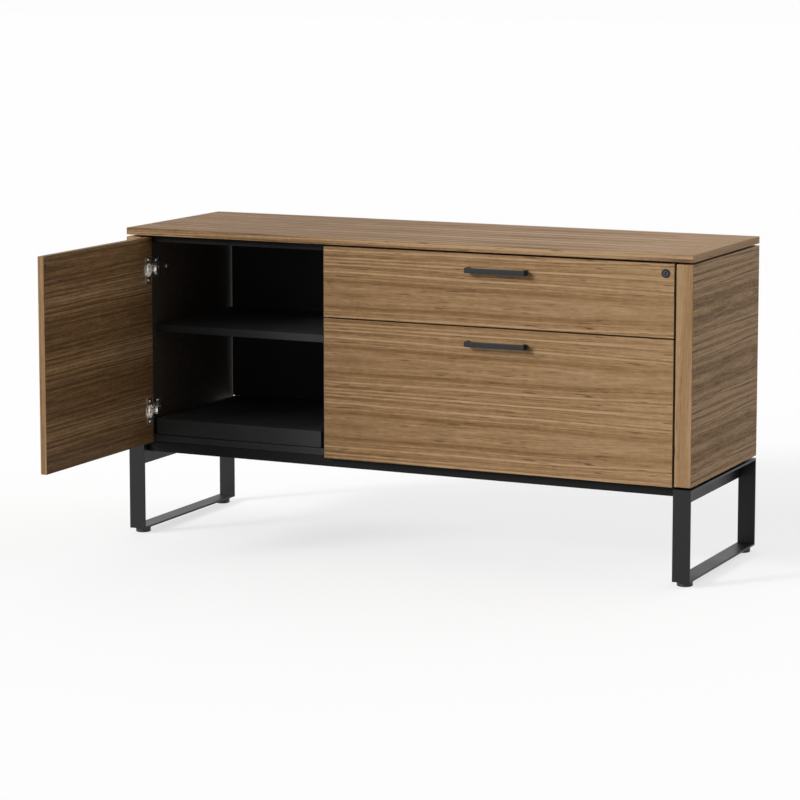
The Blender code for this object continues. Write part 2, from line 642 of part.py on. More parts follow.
def door(door_frame):
    """The door panel with its two bored cups, their flanges and pins, and its handle."""
    panel = Shape().box((DOOR_LEFT, 0, FRONT_BOTTOM), (DOOR_RIGHT, FRONT_T, SIDE_TOP))
    panel = panel.piece("door_panel", door_frame, WALNUT, EDGE_ROUND)
    cup_x = DOOR_LEFT + CUP_FROM_EDGE
    cup_bottom = FRONT_T - CUP_DEPTH
    inner_r = CUP_R - GAP - CUP_WALL
    far_side = CUP_FROM_EDGE - AXIS_FROM_EDGE + HINGE_PIN_R
    half_chord = math.sqrt(inner_r**2 - far_side**2) - GAP
    flange_low = FRONT_T + GAP
    flange_high = flange_low + FLANGE_T
    half_w, half_h = FLANGE_W / 2, FLANGE_H / 2
    bores = Shape()
    for name, z in (("upper", UPPER_HINGE_Z), ("lower", LOWER_HINGE_Z)):
        bores.rod(CUP_R, (cup_x, cup_bottom, z), (cup_x, FRONT_T + CUT_OVERRUN, z), FINE)
        low, high = (cup_x - half_w, flange_low, z - half_h), (cup_x + half_w, flange_high, z + half_h)
        cup = Shape().box(low, high).piece(f"hinge_cup_{name}", door_frame, NICKEL)
        rim = flange_high - FLANGE_T / 2
        shell = Shape().rod(CUP_R - GAP, (cup_x, cup_bottom + GAP, z), (cup_x, rim, z), FINE)
        join(cup, door_frame, shell)
        floor = (cup_x, cup_bottom + GAP + CUP_WALL, z)
        cut(cup, door_frame, Shape().rod(inner_r, floor, (cup_x, flange_high + CUT_OVERRUN, z), FINE))
        pin = Shape().rod(HINGE_PIN_R, (AXIS_X, AXIS_Y, z - half_chord), (AXIS_X, AXIS_Y, z + half_chord))
        pin.piece(f"hinge_pin_{name}", door_frame, NICKEL, smooth=True)
    cut(panel, door_frame, bores)
    handle_x = DOOR_RIGHT - DOOR_HANDLE_FROM_EDGE - HANDLE_L / 2
    handle("door_handle", door_frame, handle_x, SIDE_TOP - HANDLE_DROP)


def hinge_arms(cabinet):
    """Each hinge's cranked arm: an eye on the pin, a hook out of the cup, a plate on the side panel."""
    wall = -INNER_X + GAP
    plate_face = wall + PLATE_T
    half = HOOK_T / 2
    edge = math.degrees(math.asin(half / KNUCKLE_R))
    hook = arc((0, 0), KNUCKLE_R, edge, 360 - edge, 16)
    hook += [(HOOK_L + half, -half), (HOOK_L + half, ARM_START + HOOK_T)]
    hook += [(HOOK_L - half, ARM_START + HOOK_T), (HOOK_L - half, half)]
    eye = arc((0, 0), HINGE_PIN_R + BORE_CLEARANCE, 0, 345, 15)
    left, right = HOOK_L - ARM_W / 2, HOOK_L + ARM_W / 2
    base = plate_face - PLATE_T / 2 - AXIS_X
    bend = ARM_START + ARM_W
    foot = bend + (right - base)
    arm = [(left, ARM_START), (right, ARM_START), (right, bend), (base + ARM_BASE_W, foot)]
    arm += [(base + ARM_BASE_W, ARM_LENGTH), (base, ARM_LENGTH), (base, foot - ARM_BASE_W), (left, bend)]
    for name, z in (("upper", UPPER_HINGE_Z), ("lower", LOWER_HINGE_Z)):
        middle = (AXIS_X, AXIS_Y, z)
        body = Shape().outline([arm], middle, ARM_H).piece(f"hinge_arm_{name}", cabinet, NICKEL)
        join(body, cabinet, Shape().outline([hook, eye], middle, KNUCKLE_H))
        low, high = (wall, PLATE_FROM, z - PLATE_H / 2), (plate_face, PLATE_FROM + PLATE_L, z + PLATE_H / 2)
        join(body, cabinet, Shape().box(low, high))


def build():
    """The whole cabinet."""
    cabinet = Frame("cabinet", (0, 0, 0))
    door_frame = Frame("door_axis", (AXIS_X, AXIS_Y, 0), cabinet, -DOOR_OPEN_DEG)
    frames = {}
    for name in ("tray", "upper_drawer", "upper_middle", "lower_drawer", "lower_middle"):
        frames[name] = Frame(f"{name}_run", (0, 0, 0), cabinet)
    lock_frame = Frame("lock_axis", (LOCK_X, 0, LOCK_Z), frames["upper_drawer"])
    side, divider = case_panels(cabinet)
    back_panels(cabinet)
    shelf_and_pins(cabinet, side, divider)
    base_frame(cabinet)
    hinge_arms(cabinet)
    door(door_frame)
    tray(cabinet, frames["tray"])
    upper_box = (UPPER_FRONT_BOTTOM + UPPER_BOX_UP, SIDE_TOP - UPPER_BOX_DOWN)
    front = drawer(
        "upper_drawer",
        cabinet,
        frames["upper_drawer"],
        frames["upper_middle"],
        (UPPER_FRONT_BOTTOM, SIDE_TOP),
        upper_box,
        UPPER_FRONT_BOTTOM + UPPER_SLIDE_UP,
        SIDE_TOP - HANDLE_DROP,
    )
    lock(cabinet, frames["upper_drawer"], lock_frame, front)
    lower_box = (FRONT_BOTTOM + LOWER_BOX_UP, LOWER_FRONT_TOP - LOWER_BOX_DOWN)
    drawer(
        "lower_drawer",
        cabinet,
        frames["lower_drawer"],
        frames["lower_middle"],
        (FRONT_BOTTOM, LOWER_FRONT_TOP),
        lower_box,
        FRONT_BOTTOM + LOWER_SLIDE_UP,
        LOWER_FRONT_TOP - HANDLE_DROP,
    )
    file_frame(frames["lower_drawer"], lower_box[1])


clear_scene()
PARTS = new_collection("storage_cabinet")
HELPERS = new_collection("helpers")
build()
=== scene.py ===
"""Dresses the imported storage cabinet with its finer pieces, finishes, floor, light and camera.

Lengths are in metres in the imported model's frame: x to the right, y to the back and z up from the
floor. Sizes that are easier to read in millimetres are written times MM.
"""

import json
import math

import bmesh
import bpy
import numpy as np
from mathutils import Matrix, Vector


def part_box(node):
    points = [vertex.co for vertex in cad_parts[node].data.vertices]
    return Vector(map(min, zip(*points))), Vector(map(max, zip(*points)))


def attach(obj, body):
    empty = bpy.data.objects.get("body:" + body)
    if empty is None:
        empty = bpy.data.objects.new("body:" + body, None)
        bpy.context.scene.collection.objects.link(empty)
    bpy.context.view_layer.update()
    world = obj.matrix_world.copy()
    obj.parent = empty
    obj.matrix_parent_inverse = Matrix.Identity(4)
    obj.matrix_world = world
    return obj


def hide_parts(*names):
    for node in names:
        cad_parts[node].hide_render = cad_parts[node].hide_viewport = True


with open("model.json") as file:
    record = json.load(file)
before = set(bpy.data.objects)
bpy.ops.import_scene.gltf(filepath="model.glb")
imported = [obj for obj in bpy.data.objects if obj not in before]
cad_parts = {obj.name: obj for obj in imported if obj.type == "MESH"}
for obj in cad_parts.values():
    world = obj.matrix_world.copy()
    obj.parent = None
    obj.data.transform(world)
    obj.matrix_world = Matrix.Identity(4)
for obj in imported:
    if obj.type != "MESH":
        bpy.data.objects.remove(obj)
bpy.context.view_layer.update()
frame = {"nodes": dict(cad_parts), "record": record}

MM = 0.001
NODES = frame["nodes"]


# Shapes: each is an array of rings, and each ring an array of points


def skin(name, shapes, looped=False):
    """One mesh from one or more arrays of rings: each ring joins the next.

    The two end rings are closed by a flat face, or joined to each other where looped.
    """
    faces, used = [], 0
    for rings in shapes:
        count, around = rings.shape[:2]
        index = used + np.arange(count * around).reshape(count, around)
        used += count * around
        near = index if looped else index[:-1]
        far = np.roll(index, -1, axis=0) if looped else index[1:]
        quads = np.stack([near, np.roll(near, -1, 1), np.roll(far, -1, 1), far], axis=-1)
        faces += quads.reshape(-1, 4).tolist()
        faces += [] if looped else [index[0].tolist(), index[-1].tolist()]
    data = bpy.data.meshes.new(name)
    points = np.concatenate([rings.reshape(-1, 3) for rings in shapes])
    data.from_pydata(points.tolist(), [], faces)
    return data


def closed(data):
    """Merges a mesh's doubled points and turns its faces outwards."""
    shell = bmesh.new()
    shell.from_mesh(data)
    bmesh.ops.remove_doubles(shell, verts=shell.verts, dist=1e-6)
    bmesh.ops.recalc_face_normals(shell, faces=shell.faces)
    shell.to_mesh(data)
    shell.free()
    return data


def place_piece(name, data, body):
    """Puts a mesh into the scene as a piece that rides on a body.

    It is shaded smooth, apart from corners sharper than 40 degrees, and flats stay flat.
    """
    data.shade_smooth()
    data.set_sharp_from_angle(angle=math.radians(40))
    made = bpy.data.objects.new(name, data)
    bpy.context.scene.collection.objects.link(made)
    flats = made.modifiers.new("true_flats", "WEIGHTED_NORMAL")
    flats.keep_sharp = True
    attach(made, body)
    return made


def mesh_piece(name, rings, finish, body, looped=False):
    """Skins rings of points into one closed piece with a finish."""
    data = closed(skin(name, [rings], looped))
    data.materials.append(finish)
    return place_piece(name, data, body)


def drilled(node, spots, axis, radius, depth, body):
    """A node's own solid with a round hole at each spot, as a piece in that node's place.

    Each hole is the solid less a round rod that reaches depth to either side of its spot.
    """
    panel = bpy.data.objects.new("panel", closed(NODES[node].data.copy()))
    rods = [turned([(radius, -depth), (radius, depth)], spot, axis, around=24) for spot in spots]
    cutter = bpy.data.objects.new("cutter", closed(skin("cutter", rods)))
    for held in (panel, cutter):
        bpy.context.scene.collection.objects.link(held)
    cut = panel.modifiers.new("holes", "BOOLEAN")
    cut.object = cutter
    cut.solver = "EXACT"
    now = bpy.context.evaluated_depsgraph_get()
    data = bpy.data.meshes.new_from_object(panel.evaluated_get(now))
    for held in (panel, cutter):
        bpy.data.objects.remove(held)
    made = place_piece(f"{node}_drilled", closed(data), body)
    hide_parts(node)


def board(low, high, radius):
    """A box with rounded edges.

    The directions of a sphere are taken by longitude and latitude. Each is the radius long and
    starts from the centre of the corner in its own eighth of the box.
    """
    steps = 2
    low, high = np.array(low, float), np.array(high, float)
    quarter = np.linspace(0, np.pi / 2, steps + 1)
    longitude = np.concatenate([quarter + k * np.pi / 2 for k in range(4)])
    latitude = np.concatenate([quarter - np.pi / 2, quarter])
    side = np.repeat([(1, 1), (-1, 1), (-1, -1), (1, -1)], steps + 1, axis=0)
    up = np.repeat([-1, 1], steps + 1)
    flat, rise = np.cos(latitude)[:, None], np.sin(latitude)[:, None]
    direction = np.stack(
        [flat * np.cos(longitude), flat * np.sin(longitude), rise + 0 * longitude], axis=-1
    )
    sideways = np.broadcast_to(side, (len(up), len(side), 2))
    upwards = np.broadcast_to(up[:, None, None], (len(up), len(side), 1))
    corner = np.concatenate([sideways, upwards], axis=-1)
    core = (high - low) / 2 - radius
    return (low + high) / 2 + corner * core + radius * direction


def turned(profile, centre, axis, around=32, flutes=0, flute_depth=0.0):
    """A lathed form: the (radius, height) points of a profile, spun about an axis.

    Where it is fluted, a cosine of the angle draws the radius in, flutes times around.
    """
    profile = np.array(profile, float)
    axis = np.array(axis, float) / np.linalg.norm(axis)
    across = np.cross(axis, [1.0, 0.0, 0.0] if abs(axis[0]) < 0.9 else [0.0, 1.0, 0.0])
    across /= np.linalg.norm(across)
    other = np.cross(axis, across)
    angle = np.linspace(0, 2 * np.pi, around, endpoint=False)
    wave = flute_depth * (0.5 - 0.5 * np.cos(flutes * angle))
    radius = profile[:, :1] - wave
    spin = np.cos(angle)[:, None] * across + np.sin(angle)[:, None] * other
    return np.array(centre) + radius[..., None] * spin + profile[:, 1][:, None, None] * axis


def filleted(corners, radii, steps=4):
    """A flat outline with round corners.

    At each corner a circle touches both sides. The points of its arc are the two touching
    points added up, weighted by the sines of the angles still to go and already gone.
    """
    corners = np.array(corners, float)
    radii = np.broadcast_to(np.array(radii, float), len(corners))[:, None]
    back = np.roll(corners, 1, 0) - corners
    ahead = np.roll(corners, -1, 0) - corners
    back /= np.linalg.norm(back, axis=1)[:, None]
    ahead /= np.linalg.norm(ahead, axis=1)[:, None]
    half = np.arccos(np.clip((back * ahead).sum(1), -1, 1))[:, None] / 2
    middle = back + ahead
    middle /= np.linalg.norm(middle, axis=1)[:, None]
    centre = corners + middle * radii / np.sin(half)
    start = corners + back * radii / np.tan(half) - centre
    end = corners + ahead * radii / np.tan(half) - centre
    share = np.linspace(0, 1, steps + 1)[None, :, None]
    swing = (np.pi - 2 * half)[:, :, None]
    arc = np.sin((1 - share) * swing) * start[:, None] + np.sin(share * swing) * end[:, None]
    return (centre[:, None] + arc / np.sin(swing)).reshape(-1, 2)


def slab(outline, start, end, ease, origin, across, up):
    """A flat outline, drawn anticlockwise, carried along its normal from start to end.

    Towards either end a quarter circle draws it in by ease. The outline's plane passes through
    origin, with its first axis along across and its second along up.
    """
    steps = 2
    ahead = np.roll(outline, -1, 0) - outline
    ahead /= np.linalg.norm(ahead, axis=1)[:, None]
    along = ahead + np.roll(ahead, 1, 0)
    along /= np.linalg.norm(along, axis=1)[:, None]
    inward = np.stack([-along[:, 1], along[:, 0]], axis=1)
    quarter = np.linspace(0, np.pi / 2, steps + 1)
    inset = ease * (1 - np.sin(quarter))
    rise = ease * (1 - np.cos(quarter))
    inset = np.concatenate([inset, inset[::-1]])
    height = np.concatenate([start + rise, end - rise[::-1]])
    flat = outline + inset[:, None, None] * inward
    across, up = np.array(across, float), np.array(up, float)
    lift = height[:, None, None] * np.cross(across, up)
    return np.array(origin) + flat[..., :1] * across + flat[..., 1:] * up + lift


def carried(profile, path, inward):
    """A bar whose section is set at each corner of a path and skinned from one to the next.

    Of the section's (side, depth) points, side is laid along X and depth along the corner's own
    mitre, which points inwards.
    """
    profile, path, inward = np.array(profile), np.array(path, float), np.array(inward, float)
    side = np.array([1.0, 0.0, 0.0])
    return path[:, None] + profile[None, :, :1] * side + profile[None, :, 1:] * inward[:, None]


def screw_head(centre, axis, radius, dome):
    """A cross-recess screw head: a disc whose height follows an ellipse from middle to rim.

    Points nearer than half_groove to either of two crossed lines are pressed in by half the
    dome, less and less towards groove_end. Both are shares of the head's radius. The last ring
    lies on the surface below.
    """
    half_groove, groove_end, recess = 0.13, 0.58, 0.5
    share = [0.02, 0.12, 0.2, 0.28, 0.36, 0.44, 0.52, 0.6, 0.72, 0.86, 0.96, 1.0]
    share = np.array(share)[:, None]
    angle = np.linspace(0, 2 * np.pi, 32, endpoint=False)[None]
    u, v = share * np.cos(angle), share * np.sin(angle)
    groove = np.minimum(np.abs(u), np.abs(v)) < half_groove
    depth = recess * groove * np.clip((groove_end - share) * 6, 0, 1)
    height = dome * (np.sqrt(1 - (0.92 * share) ** 2) - depth)
    height[-1] = 0.0
    axis = np.array(axis, float) / np.linalg.norm(axis)
    across = np.cross(axis, [0.0, 0.0, 1.0] if abs(axis[2]) < 0.9 else [1.0, 0.0, 0.0])
    across /= np.linalg.norm(across)
    other = np.cross(axis, across)
    flat = radius * (u[..., None] * across + v[..., None] * other)
    return np.array(centre) + flat + height[..., None] * axis


# Finishes


def linear(code):
    """The linear colour that a shader takes, from an sRGB hex code."""
    value = np.array([int(code[i : i + 2], 16) for i in (1, 3, 5)]) / 255
    return (*np.where(value <= 0.04045, value / 12.92, ((value + 0.055) / 1.055) ** 2.4), 1.0)


def add(tree, kind, sockets=(), out=0, ramp=(), **settings):
    """Adds a node with its settings and its ramp's colours, and gives back one output.

    The sockets are given in a row, or by number or name, each with a value or a link.
    """
    made = tree.nodes.new("ShaderNode" + kind)
    for key, value in settings.items():
        setattr(made, key, value)
    for key, value in sockets.items() if isinstance(sockets, dict) else enumerate(sockets):
        if isinstance(value, bpy.types.NodeSocket):
            tree.links.new(value, made.inputs[key])
        else:
            made.inputs[key].default_value = value
    if ramp:
        stops = made.color_ramp.elements
        while len(stops) < len(ramp):
            stops.new(0.5)
        for stop, (place, colour) in zip(stops, ramp):
            stop.position = place
            stop.color = linear(colour) if isinstance(colour, str) else (*[colour] * 3, 1.0)
    return made.outputs[out]


def material(name, paint, **constants):
    """A material with one Principled shader.

    Its even values are set on the shader's sockets, and paint links in its patterns.
    """
    made = bpy.data.materials.new(name)
    made.use_nodes = True
    tree = made.node_tree
    shader = tree.nodes["Principled BSDF"]
    for key, value in constants.items():
        shader.inputs[key.replace("_", " ")].default_value = value
    paint(tree, shader)
    return made


# How wide one leaf of veneer is, and one soft cloud in a coating
LEAF = 153 * MM
CLOUD = 110 * MM


def walnut(name, along, across, joint, seed, contrast, painted_shading_drift=0.0, base=0.47, lined=0.0):
    """Walnut veneer, flat-sliced in leaves laid side by side, pressed on board and lacquered satin.

    The eye sees each leaf's growth rings again in the next one: straight, close lines where two
    leaves meet, and calm wood with long tongues in each leaf's middle. The cut edges carry a calm
    strip of the same veneer, its grain along the edge. One joint lies at the place given across
    the grain. A tone from 0, dark, to 1, pale, picks the brown: it starts from base, the grain
    times contrast moves it up and down, and the drift, painted shading that darkens one end and
    lightens the other, is added with each metre along the grain. Wide faces nearer to the
    cabinet's middle than lined are coloured an even dark black-brown instead.
    """

    def paint(tree, shader):
        coordinates = add(tree, "TexCoord").node.outputs
        place = add(tree, "SeparateXYZ", [coordinates["Object"]]).node.outputs
        facing = add(tree, "SeparateXYZ", [coordinates["Normal"]]).node.outputs
        thick = ({"X", "Y", "Z"} - {along, across}).pop()

        def faces(axis):
            """1 where the surface looks along an axis, either way, and 0 elsewhere."""
            lean = add(tree, "Math", [facing[axis]], operation="ABSOLUTE")
            return add(tree, "Math", [lean, 0.7], operation="GREATER_THAN")

        # On the strip that ends the board the grain runs along the edge instead
        strip = faces(along)
        u = add(tree, "Mix", {0: strip, 2: place[along], 3: place[across]})
        on_face = add(tree, "Math", [place[across], place[thick]], operation="ADD")
        on_strip = add(tree, "Math", [place[thick], place[along]], operation="ADD")
        v = add(tree, "Mix", {0: strip, 2: on_face, 3: on_strip})

        def grain(u_mm, v_mm, detail, shift, v_from):
            """Noise drawn out along the grain: one feature is about u_mm long and v_mm across."""
            u_scaled = add(tree, "Math", [u, 1 / (u_mm * MM)], operation="MULTIPLY")
            v_scaled = add(tree, "Math", [v_from, 1 / (v_mm * MM)], operation="MULTIPLY")
            spot = add(tree, "CombineXYZ", [u_scaled, v_scaled, seed + shift])
            noise = {"Vector": spot, "Scale": 1.0, "Detail": detail, "Roughness": 0.55}
            noise = add(tree, "TexNoise", noise, out="Fac")
            return add(tree, "Math", [noise, 0.5], operation="SUBTRACT")

        # How far the point lies from its leaf's middle and from the log's heart: the rings are
        # circles cut by the leaf
        from_middle = add(tree, "Math", [v, joint + LEAF, joint], operation="WRAP")
        from_middle = add(tree, "Math", [from_middle, joint + LEAF / 2], operation="SUBTRACT")
        sway = grain(900, 140, 1.0, 0.0, from_middle)
        sway = add(tree, "Math", [sway, 10 * MM, from_middle], operation="MULTIPLY_ADD")
        depth = grain(620, 500, 1.0, 41.3, from_middle)
        depth = add(tree, "Math", [depth, 36 * MM, 22 * MM], operation="MULTIPLY_ADD")
        depth = add(tree, "Math", [u, 0.012, depth], operation="MULTIPLY_ADD")
        spot = add(tree, "CombineXYZ", [sway, depth])
        ring = add(tree, "VectorMath", [spot], out="Value", operation="LENGTH")
        broad = grain(1500, 24, 1.0, 3.1, ring)
        rings = grain(1100, 4.4, 2.0, 7.7, ring)
        lines = grain(1300, 9, 0.0, 17.9, ring)
        fibre = grain(70, 2.4, 2.0, 11.3, v)
        mottle = grain(14, 7, 1.0, 53.9, v)
        flecks = grain(46, 3.0, 0.0, 29.9, from_middle)
        # 0 in a leaf's middle and 1 near its joints, where the rings crowd
        crowd = add(tree, "Math", [from_middle], operation="ABSOLUTE")
        crowd = {0: crowd, 1: 0.35 * LEAF / 2, 2: 0.9 * LEAF / 2}
        crowd = add(tree, "MapRange", crowd, interpolation_type="SMOOTHSTEP")
        rings_weight = add(tree, "Math", [crowd, 0.75, 0.65], operation="MULTIPLY_ADD")
        tone = 0.0
        parts = ((broad, 0.45), (rings, rings_weight), (fibre, 0.5), (mottle, 0.2))
        for source, weight in parts:
            tone = add(tree, "Math", [source, weight, tone], operation="MULTIPLY_ADD")
        liveliness = add(tree, "Math", [strip, -0.6 * contrast, contrast], operation="MULTIPLY_ADD")
        tone = add(tree, "Math", [tone, liveliness, base], operation="MULTIPLY_ADD")
        tone = add(tree, "Math", [crowd, 0.09, tone], operation="MULTIPLY_ADD")
        tone = add(tree, "Math", [strip, 0.1, tone], operation="MULTIPLY_ADD")
        # Painted shading: the tone rises steadily along the grain, one end shaded and the other lit
        tone = add(tree, "Math", [place[along], painted_shading_drift, tone], operation="MULTIPLY_ADD")
        browns = [(0.2, "#5c4126"), (0.42, "#7d5e3a"), (0.58, "#91714d"), (0.82, "#ae8e6a")]
        colour = add(tree, "ValToRGB", [tone], ramp=browns)
        # Thin dark lines along some rings, and short dark flecks
        line = add(tree, "Math", [lines, 0.5], operation="ADD")
        line = add(tree, "ValToRGB", [line], ramp=[(0.42, 0.0), (0.47, 1.0), (0.5, 0.0)])
        line_weight = add(tree, "Math", [crowd, 0.55, 0.15], operation="MULTIPLY_ADD")
        line = add(tree, "Math", [line, line_weight], operation="MULTIPLY")
        line = add(tree, "Math", [line, liveliness], operation="MULTIPLY")
        fleck = add(tree, "Math", [flecks, 0.5], operation="ADD")
        fleck = add(tree, "ValToRGB", [fleck], ramp=[(0.75, 0.0), (0.82, 0.8)])
        dark = add(tree, "Math", [line, fleck], operation="MAXIMUM")
        stained = {0: dark, 6: colour, 7: linear("#49311f")}
        colour = add(tree, "Mix", stained, out=2, data_type="RGBA")
        # Where lined, wide faces near the middle get an even dark black-brown in place of veneer
        if lined:
            inner = add(tree, "Math", [place[thick]], operation="ABSOLUTE")
            inner = add(tree, "Math", [inner, lined], operation="LESS_THAN")
            inner = add(tree, "Math", [inner, faces(thick)], operation="MULTIPLY")
            cloud = add(tree, "Math", [mottle, 0.5], operation="ADD")
            lining = add(tree, "ValToRGB", [cloud], ramp=[(0.3, "#40372f"), (0.7, "#4b4138")])
            colour = add(tree, "Mix", {0: inner, 6: colour, 7: lining}, out=2, data_type="RGBA")
        tree.links.new(colour, shader.inputs["Base Color"])
        gloss = add(tree, "MapRange", [fibre, -0.2, 0.2, 0.66, 0.56])
        tree.links.new(gloss, shader.inputs["Roughness"])
        relief = {"Strength": 0.25, "Distance": 0.1 * MM, "Height": fibre}
        tree.links.new(add(tree, "Bump", relief), shader.inputs["Normal"])

    return material(name, paint, Specular_IOR_Level=0.2)


def speckled(name, dark, light, size_mm, rough, depth_mm, **constants):
    """A surface with an even small texture.

    Noise of one size in millimetres, with a slow cloud over it, blends two near colours, the
    cloud blends two near glosses, and the noise raises a bump of the given depth.
    """

    def paint(tree, shader):
        point = add(tree, "TexCoord", out="Object")
        fine = {"Vector": point, "Scale": 1 / (size_mm * MM), "Detail": 2.0, "Roughness": 0.6}
        grit = add(tree, "TexNoise", fine, out="Fac")
        slow = {"Vector": point, "Scale": 1 / CLOUD, "Detail": 3.0, "Roughness": 0.55}
        cloud = add(tree, "TexNoise", slow, out="Fac")
        blend = add(tree, "Math", [grit, 0.4, -0.3], operation="MULTIPLY_ADD")
        blend = add(tree, "Math", [cloud, 0.6, blend], operation="MULTIPLY_ADD")
        colour = add(tree, "ValToRGB", [blend], ramp=[(0.0, dark), (0.4, light)])
        tree.links.new(colour, shader.inputs["Base Color"])
        gloss = add(tree, "MapRange", [cloud, 0.3, 0.7, rough + 0.04, rough - 0.04])
        tree.links.new(gloss, shader.inputs["Roughness"])
        relief = {"Strength": 0.6, "Distance": depth_mm * MM, "Height": grit}
        tree.links.new(add(tree, "Bump", relief), shader.inputs["Normal"])

    return material(name, paint, **constants)


# Walnut for each set of panels: the grain runs along the cabinet on the top and the fronts, and
# from front to back on the sides and on the door, which stands open. The top, the fronts and the
# door carry painted shading, darker towards one end along the grain
WALNUT_TOP = walnut("walnut_veneer_top", "X", "Y", 120 * MM, 1.0, 1.3, 0.17)
WALNUT_FRONTS = walnut("walnut_veneer_fronts", "X", "Z", 690 * MM, 2.6, 1.0, 0.27, 0.45)
WALNUT_SIDE = walnut("walnut_veneer_sides", "Y", "Z", 640 * MM, 5.8, 1.5, base=0.55, lined=690 * MM)
WALNUT_DOOR = walnut("walnut_veneer_door", "Y", "Z", 570 * MM, 7.4, 1.3, 0.25)
# Melamine laminate, pressed with a matt plate: near black, with a faint grain to the touch
LAMINATE = speckled(
    "black_melamine_laminate", "#292929", "#323232", 0.9, 0.55, 0.03, Specular_IOR_Level=0.15
)
# A darker, duller copy of the laminate on the sub-top: painted shade, where the top overhangs it
SUB_TOP_PAINTED_SHADE = speckled(
    "black_laminate_painted_shade", "#0b0b0b", "#111111", 0.9, 0.62, 0.03, Specular_IOR_Level=0.1
)
# Graphite melamine on the drawer boxes, a shade lighter than the laminate
GRAPHITE = speckled("graphite_melamine", "#2e2f30", "#38393a", 0.9, 0.5, 0.03)
# Polyester powder, sprayed and baked on steel: satin black with a fine orange peel
POWDER = speckled(
    "black_powder_coat_steel", "#121212", "#1a1a1a", 0.7, 0.4, 0.02, Specular_IOR_Level=0.26
)
# Black steel on the rails under the case, darker and duller than the powder: painted shade
RAIL_PAINTED_SHADE = speckled(
    "black_steel_painted_shade", "#0b0b0b", "#111111", 1.1, 0.55, 0.02, Specular_IOR_Level=0.12
)
# Blue-black lacquer on the handles, smoother than the powder
HANDLE_LACQUER = speckled(
    "blue_black_lacquer", "#15181c", "#1d2024", 0.7, 0.42, 0.01, Specular_IOR_Level=0.26
)
# Black nickel plate on the lock's plug: a soft dark gleam, so that the keyway shows
BLACK_NICKEL = speckled("black_nickel_plate", "#353b3f", "#3e4448", 0.9, 0.45, 0.004, Metallic=1.0)
# Bright nickel plate on pressed steel: glints on its edges, and dark where it mirrors the dark
NICKEL = speckled("bright_nickel_plate", "#efece7", "#f7f4ef", 1.4, 0.36, 0.004, Metallic=1.0)
# Zinc plate on rolled steel: greyer, with a soft spangle
ZINC = speckled("zinc_plate", "#94979a", "#a8abad", 2.5, 0.34, 0.006, Metallic=1.0)
# Polypropylene of the feet, pads, caps and bumpers, moulded with a fine matt grain
PLASTIC = speckled("black_polypropylene", "#151515", "#1d1d1d", 0.6, 0.48, 0.02)

SLOT_FINISH = {
    "black_laminate": LAMINATE,
    "graphite_board": GRAPHITE,
    "black_powder_coat": POWDER,
    "blued_black_steel": HANDLE_LACQUER,
    "bright_nickel": NICKEL,
    "zinc_plate": ZINC,
    "black_plastic": PLASTIC,
}
NODE_FINISH = {
    "top_panel": WALNUT_TOP,
    "upper_drawer_front": WALNUT_FRONTS,
    "lower_drawer_front": WALNUT_FRONTS,
    "side_panel_left": WALNUT_SIDE,
    "side_panel_right": WALNUT_SIDE,
    "door_panel": WALNUT_DOOR,
    # The sub-top's darker laminate is painted shade
    "sub_top": SUB_TOP_PAINTED_SHADE,
    "lock_plug": BLACK_NICKEL,
    # The rails' darker steel is painted shade
    "front_rail": RAIL_PAINTED_SHADE,
    "rear_rail": RAIL_PAINTED_SHADE,
}
NODE_SLOT = {row["node"]: row["material_slot"] for row in frame["record"]["subparts"]}
for node, obj in NODES.items():
    chosen = NODE_FINISH.get(node) or SLOT_FINISH[NODE_SLOT[node]]
    for holder in obj.material_slots:
        holder.material = chosen


# End frames: each a welded loop of flat bar with an apron under its top bar, two pads between it
# and the case, and two levelling feet

OUTER_X = 715.0 * MM
LOOP_TOP = 220.0 * MM
BAR_W = 41.6 * MM
BAR_T = 5.0 * MM
BAR_EASE = 0.9 * MM
APRON_T = 4.0 * MM
APRON_H = 48 * MM
APRON_BACK = 0.5 * MM
PAD_R = 14.0 * MM
PAD_EASE = 0.6 * MM
PAD_IN = 60 * MM
WELD_END = 2 * MM
STUD_R = 4 * MM


def bar_section(width, depth, radius):
    """A rectangle with rounded corners, as (side, depth) points, depth from its outer face."""
    corners = [(-width / 2, 0), (width / 2, 0), (width / 2, depth), (-width / 2, depth)]
    return filleted(corners, radius, steps=2)


def weld_bead(start, length):
    """A bead in a corner: a rod along X whose radius swells by a cosine, once for each dab."""
    mean, swell, dab = 1.7 * MM, 0.3 * MM, 3 * MM
    way = np.linspace(0, length, 61)
    radius = mean + swell * np.cos(2 * np.pi * way / dab)
    return turned(np.stack([radius, way], axis=1), start, (1, 0, 0), around=12)


